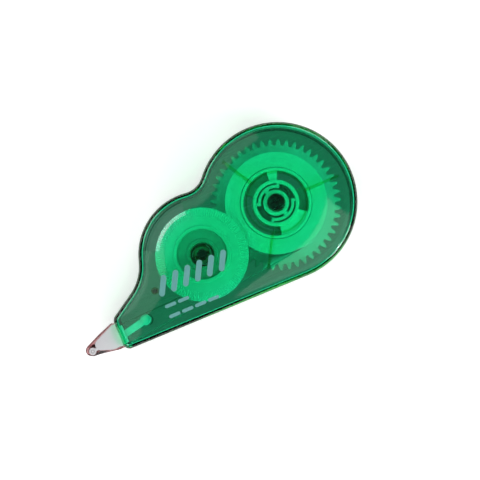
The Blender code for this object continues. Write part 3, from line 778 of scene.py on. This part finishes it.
fitted("supply_drum", softened("supply_reel", 0.1), "supply", white, ["supply_reel"])


# Supply tape
# About 6 m of coated tape wound on the drum. Its edges make the fine rings on the coil's faces:
# no two turns lie at quite the same height.

COIL = (10.25, 14.5)
TAPE_Z = (5.4, 10.4)
TURN, TURN_FILL = 0.06, 0.85  # pitch of the drawn turns, and how much of it the tape fills
LEAST_SUNK, SUNK_SPREAD = 0.01, 0.03


def wound_layers_group():
    """Edges of wound turns: rings round a centre that differ in height and tone."""
    tree, given, made = group_tree(
        "wound_layers",
        [
            ("Centre", "NodeSocketVector", (0.0, 0.0, 0.0)),
            ("Colour", COLOUR, (0.8, 0.8, 0.8, 1.0)),
            ("Gap Colour", COLOUR, (0.5, 0.5, 0.5, 1.0)),
            ("Turns per Metre", FLOAT, 12000.0),
        ],
        [("Colour", COLOUR), ("Height", FLOAT)],
    )
    join = tree.links.new
    place = tree.nodes.new("ShaderNodeTexCoord")
    offset = tree.nodes.new("ShaderNodeVectorMath")
    offset.operation = "SUBTRACT"
    flat = tree.nodes.new("ShaderNodeVectorMath")
    flat.operation = "MULTIPLY"
    flat.inputs[1].default_value = (1.0, 1.0, 0.0)
    radius = tree.nodes.new("ShaderNodeVectorMath")
    radius.operation = "LENGTH"
    rings = tree.nodes.new("ShaderNodeTexNoise")
    rings.noise_dimensions = "1D"
    rings.inputs["Detail"].default_value = 2.0
    sharper = tree.nodes.new("ShaderNodeMapRange")
    sharper.inputs["From Min"].default_value = 0.35
    sharper.inputs["From Max"].default_value = 0.65
    blend = tree.nodes.new("ShaderNodeMix")
    blend.data_type = "RGBA"
    join(place.outputs["Object"], offset.inputs[0])
    join(given.outputs["Centre"], offset.inputs[1])
    join(offset.outputs["Vector"], flat.inputs[0])
    join(flat.outputs["Vector"], radius.inputs[0])
    join(radius.outputs["Value"], rings.inputs["W"])
    join(given.outputs["Turns per Metre"], rings.inputs["Scale"])
    join(rings.outputs["Fac"], sharper.inputs["Value"])
    join(sharper.outputs["Result"], blend.inputs["Factor"])
    join(given.outputs["Gap Colour"], blend.inputs["A"])
    join(given.outputs["Colour"], blend.inputs["B"])
    join(blend.outputs["Result"], made.inputs["Colour"])
    join(sharper.outputs["Result"], made.inputs["Height"])
    return tree


wound_layers = wound_layers_group()


def wound(name, centre, colour, gap_colour, roughness):
    """The edges of wound tape, as rings round the reel's axis."""
    finish = Finish(name, colour, roughness)
    turns = finish.group(wound_layers, Centre=(centre.x * MM, centre.y * MM, 0.0))
    turns.inputs["Colour"].default_value = (*colour, 1.0)
    turns.inputs["Gap Colour"].default_value = (*gap_colour, 1.0)
    finish.join(turns.outputs["Colour"], finish.shader.inputs["Base Color"])
    finish.bump(turns.outputs["Height"], 0.02)
    return finish


def wound_coil(centre, radii, heights, seed, steps=144):
    """A coil whose faces step up and down by a few hundredths of a mm from turn to turn."""
    chance = random.Random(seed)
    inner, outer = radii
    turns = round((outer - inner) / TURN)
    low_face, high_face = [], []
    for k in range(turns):
        near, far = inner + TURN * k, inner + TURN * (k + TURN_FILL)
        for face, z, sign in ((high_face, heights[1], -1), (low_face, heights[0], 1)):
            level = z + sign * (LEAST_SUNK + SUNK_SPREAD * chance.random())
            face += [(near, level), (far, level)]
    return turned(low_face + high_face[::-1], centre, steps, True)


coil_white = wound("coil_edges", SUPPLY, (0.88, 0.89, 0.87), (0.66, 0.67, 0.66), 0.55)
coil_mesh = wound_coil(SUPPLY, COIL, TAPE_Z, 3)
fitted("supply_coil", coil_mesh, "supply", coil_white, ["supply_tape_roll"])


# Take-up reel
# A pinion, flange and drum moulded in one, which winds the spent carrier, and the three-armed
# pawl in its bore that stops it turning back.

fitted("takeup_wheel", softened("takeup_gear", 0.08), "takeup", white, ["takeup_gear"])
fitted("pawl_spring", softened("ratchet_pawl", 0.05), "case", white, ["ratchet_pawl"])


# Thumb flange
# The disc that closes the take-up reel, white acetal. Its rim stands in the window of the front
# cover, where a finger turns it to take up slack, so its face is finely ribbed near the edge.

THUMB = {"bore": 3.5, "low": 10.7, "high": 11.7, "edge": 13.2, "ribs": (10.7, 12.95)}
SKIRT, SKIRT_END = (4.7, 5.9), 6.0
BEAD, BEAD_RISE = (7.0, 8.2), 0.3
RIBS, RIB_DEPTH, NICK_DEPTH = 120, 0.14, 0.12


def rib_wave(r, z, k):
    """Sinks every third spoke of the ribbed border, and nicks the rim in step with it."""
    sunk = k % 3 == 0
    inner, outer = THUMB["ribs"]
    if z > THUMB["high"] - 0.05 and inner < r < outer:
        return r, z - (RIB_DEPTH if sunk else 0.0)
    if r > THUMB["edge"] - 0.01:
        return r - (NICK_DEPTH if sunk else 0.0), z
    return r, z


def thumb_flange_mesh():
    """Ribbed disc with a raised bead, a sunk middle and a skirt that plugs into the drum."""
    low, high, edge = THUMB["low"], THUMB["high"], THUMB["edge"]
    inner, outer = THUMB["ribs"]
    profile = [(THUMB["bore"], low), (SKIRT[0], low), (SKIRT[0], SKIRT_END), (SKIRT[1], SKIRT_END)]
    profile += [(SKIRT[1], low), (edge - 0.2, low)]
    profile += [(edge, low + 0.2), (edge, high - 0.2), (edge - 0.06, high - 0.06), (edge - 0.2, high)]
    profile += [(outer - 0.03, high), (outer - 0.12, high), (inner + 0.12, high), (inner + 0.03, high)]
    near, far = BEAD
    top, sunk = high + BEAD_RISE, high - BEAD_RISE
    profile += [(inner - 0.1, high), (far, high), (far - 0.08, top - 0.08), (far - 0.2, top)]
    profile += [(near + 0.1, top), (near, top - 0.1), (near - 0.05, sunk + 0.05), (near - 0.2, sunk)]
    profile += [(4.5, sunk), (4.4, high - 0.05), (4.3, high), (THUMB["bore"] + 0.1, high)]
    profile += [(THUMB["bore"], high - 0.1)]
    return turned(profile, TAKEUP, RIBS * 3, True, rib_wave)


def round_zone_group():
    """Mask of the zone inside a radius, with a soft border, round an axis along Z."""
    tree, given, made = group_tree(
        "round_zone",
        [
            ("Centre", "NodeSocketVector", (0.0, 0.0, 0.0)),
            ("Radius", FLOAT, 0.007),
            ("Border", FLOAT, 0.0003),
        ],
        [("Mask", FLOAT)],
    )
    join = tree.links.new
    place = tree.nodes.new("ShaderNodeTexCoord")
    offset = tree.nodes.new("ShaderNodeVectorMath")
    offset.operation = "SUBTRACT"
    flat = tree.nodes.new("ShaderNodeVectorMath")
    flat.operation = "MULTIPLY"
    flat.inputs[1].default_value = (1.0, 1.0, 0.0)
    radius = tree.nodes.new("ShaderNodeVectorMath")
    radius.operation = "LENGTH"
    outer = tree.nodes.new("ShaderNodeMath")
    fall = tree.nodes.new("ShaderNodeMapRange")
    fall.inputs["To Min"].default_value = 1.0
    fall.inputs["To Max"].default_value = 0.0
    join(place.outputs["Object"], offset.inputs[0])
    join(given.outputs["Centre"], offset.inputs[1])
    join(offset.outputs["Vector"], flat.inputs[0])
    join(flat.outputs["Vector"], radius.inputs[0])
    join(given.outputs["Radius"], outer.inputs[0])
    join(given.outputs["Border"], outer.inputs[1])
    join(radius.outputs["Value"], fall.inputs["Value"])
    join(given.outputs["Radius"], fall.inputs["From Min"])
    join(outer.outputs["Value"], fall.inputs["From Max"])
    join(fall.outputs["Result"], made.inputs["Mask"])
    return tree


# The middle is thinner than the ribbed border; its grey is painted shade, for the shade that shows through
# the thin middle.
flange_white = moulded("flange_acetal", (0.74, 0.75, 0.73), (0.66, 0.67, 0.66), 0.3)
takeup_axis = (TAKEUP.x * MM, TAKEUP.y * MM, 0.0)
# This mask and mix paint shade on the flange within 7 mm of its axis.
middle = flange_white.group(round_zone_group(), Radius=7.0 * MM, Centre=takeup_axis)
painted_middle_shade = flange_white.node("ShaderNodeMix", data_type="RGBA")
painted_middle_shade.inputs["B"].default_value = (0.36, 0.37, 0.36, 1.0)
skin_colour = flange_white.shader.inputs["Base Color"].links[0].from_socket
flange_white.join(middle.outputs["Mask"], painted_middle_shade.inputs["Factor"])
flange_white.join(skin_colour, painted_middle_shade.inputs["A"])
flange_white.join(painted_middle_shade.outputs["Result"], flange_white.shader.inputs["Base Color"])
thumb_mesh = thumb_flange_mesh()
fitted("thumb_disc", thumb_mesh, "takeup", flange_white, ["takeup_thumb_flange"])


# Spent carrier
# The first turns of the glassine carrier on the take-up drum, brownish grey, wound tight with
# its edges showing as fine rings.

CARRIER = (0.60, 0.54, 0.47)
spent = wound("spent_edges", TAKEUP, CARRIER, (0.42, 0.37, 0.32), 0.45)
spent_mesh = wound_coil(TAKEUP, (7.25, 7.9), TAPE_Z, 5)
fitted("spent_coil", spent_mesh, "takeup", spent, ["takeup_tape_roll"])


# Tip core and roller
# A grey-white wedge with raised cheeks, and a shank whose blind head sits on the case's anchor
# pin. Its eyes carry the small roller that presses the tape down.

core_white = moulded("tip_polystyrene", (0.75, 0.75, 0.775), (0.69, 0.69, 0.715), 0.35)
BLIND_END_R, BLIND_END_Z = 0.98, (ANCHOR_PIN[1] + 0.1, ANCHOR_PIN[1] + 0.62)
blind_end = turned([(BLIND_END_R, z) for z in BLIND_END_Z], ANCHOR, 48)
wedge_mesh = combined(softened("tip_core", 0.1), blind_end, "UNION")
fitted("tip_wedge", wedge_mesh, "case", core_white, ["tip_core"])

roller_white = moulded("roller_acetal", (0.80, 0.79, 0.81), (0.74, 0.73, 0.75), 0.3)
roller_mesh = softened("tip_roller", 0.1)
fitted("press_roller", roller_mesh, "roller", roller_white, ["tip_roller"])


# Tip plates
# Two thin frames of clear smoky pink plastic clipped round the core's cheeks, front and rear.
# They keep the tape from running off the sides.

smoke = clear_plastic("clear_smoke", (1.45, 2.6, 2.55), 0.06, 0.4, 0.01)
for end in ("front", "rear"):
    plate = f"tip_{end}_plate"
    frame_mesh = softened(plate, 0.12, 3)
    fitted(f"{end}_tip_frame", frame_mesh, "case", smoke, [plate])


# Running tape
# The strip that runs from the coil under the tip and round the roller, coated, and then back over
# the tip to the take-up drum as bare carrier. The strands are drawn thicker than real tape and,
# so that they don't stand out as bright lines, darker than its white coating and brown carrier.

coated = moulded("tape_coating", (0.30, 0.31, 0.30), (0.25, 0.26, 0.25), 0.6, 0.006)
bare = moulded("bare_carrier", (0.20, 0.18, 0.155), (0.16, 0.14, 0.12), 0.4, 0.006)
fitted("coated_run", softened("feed_tape", 0.03, 1), "case", coated, ["feed_tape"])
fitted("bare_run", softened("return_tape", 0.03, 1), "case", bare, ["return_tape"])


# Last update
# The view layer is brought up to date; the box round the plain model, in metres, is taken near the top.

bpy.context.view_layer.update()
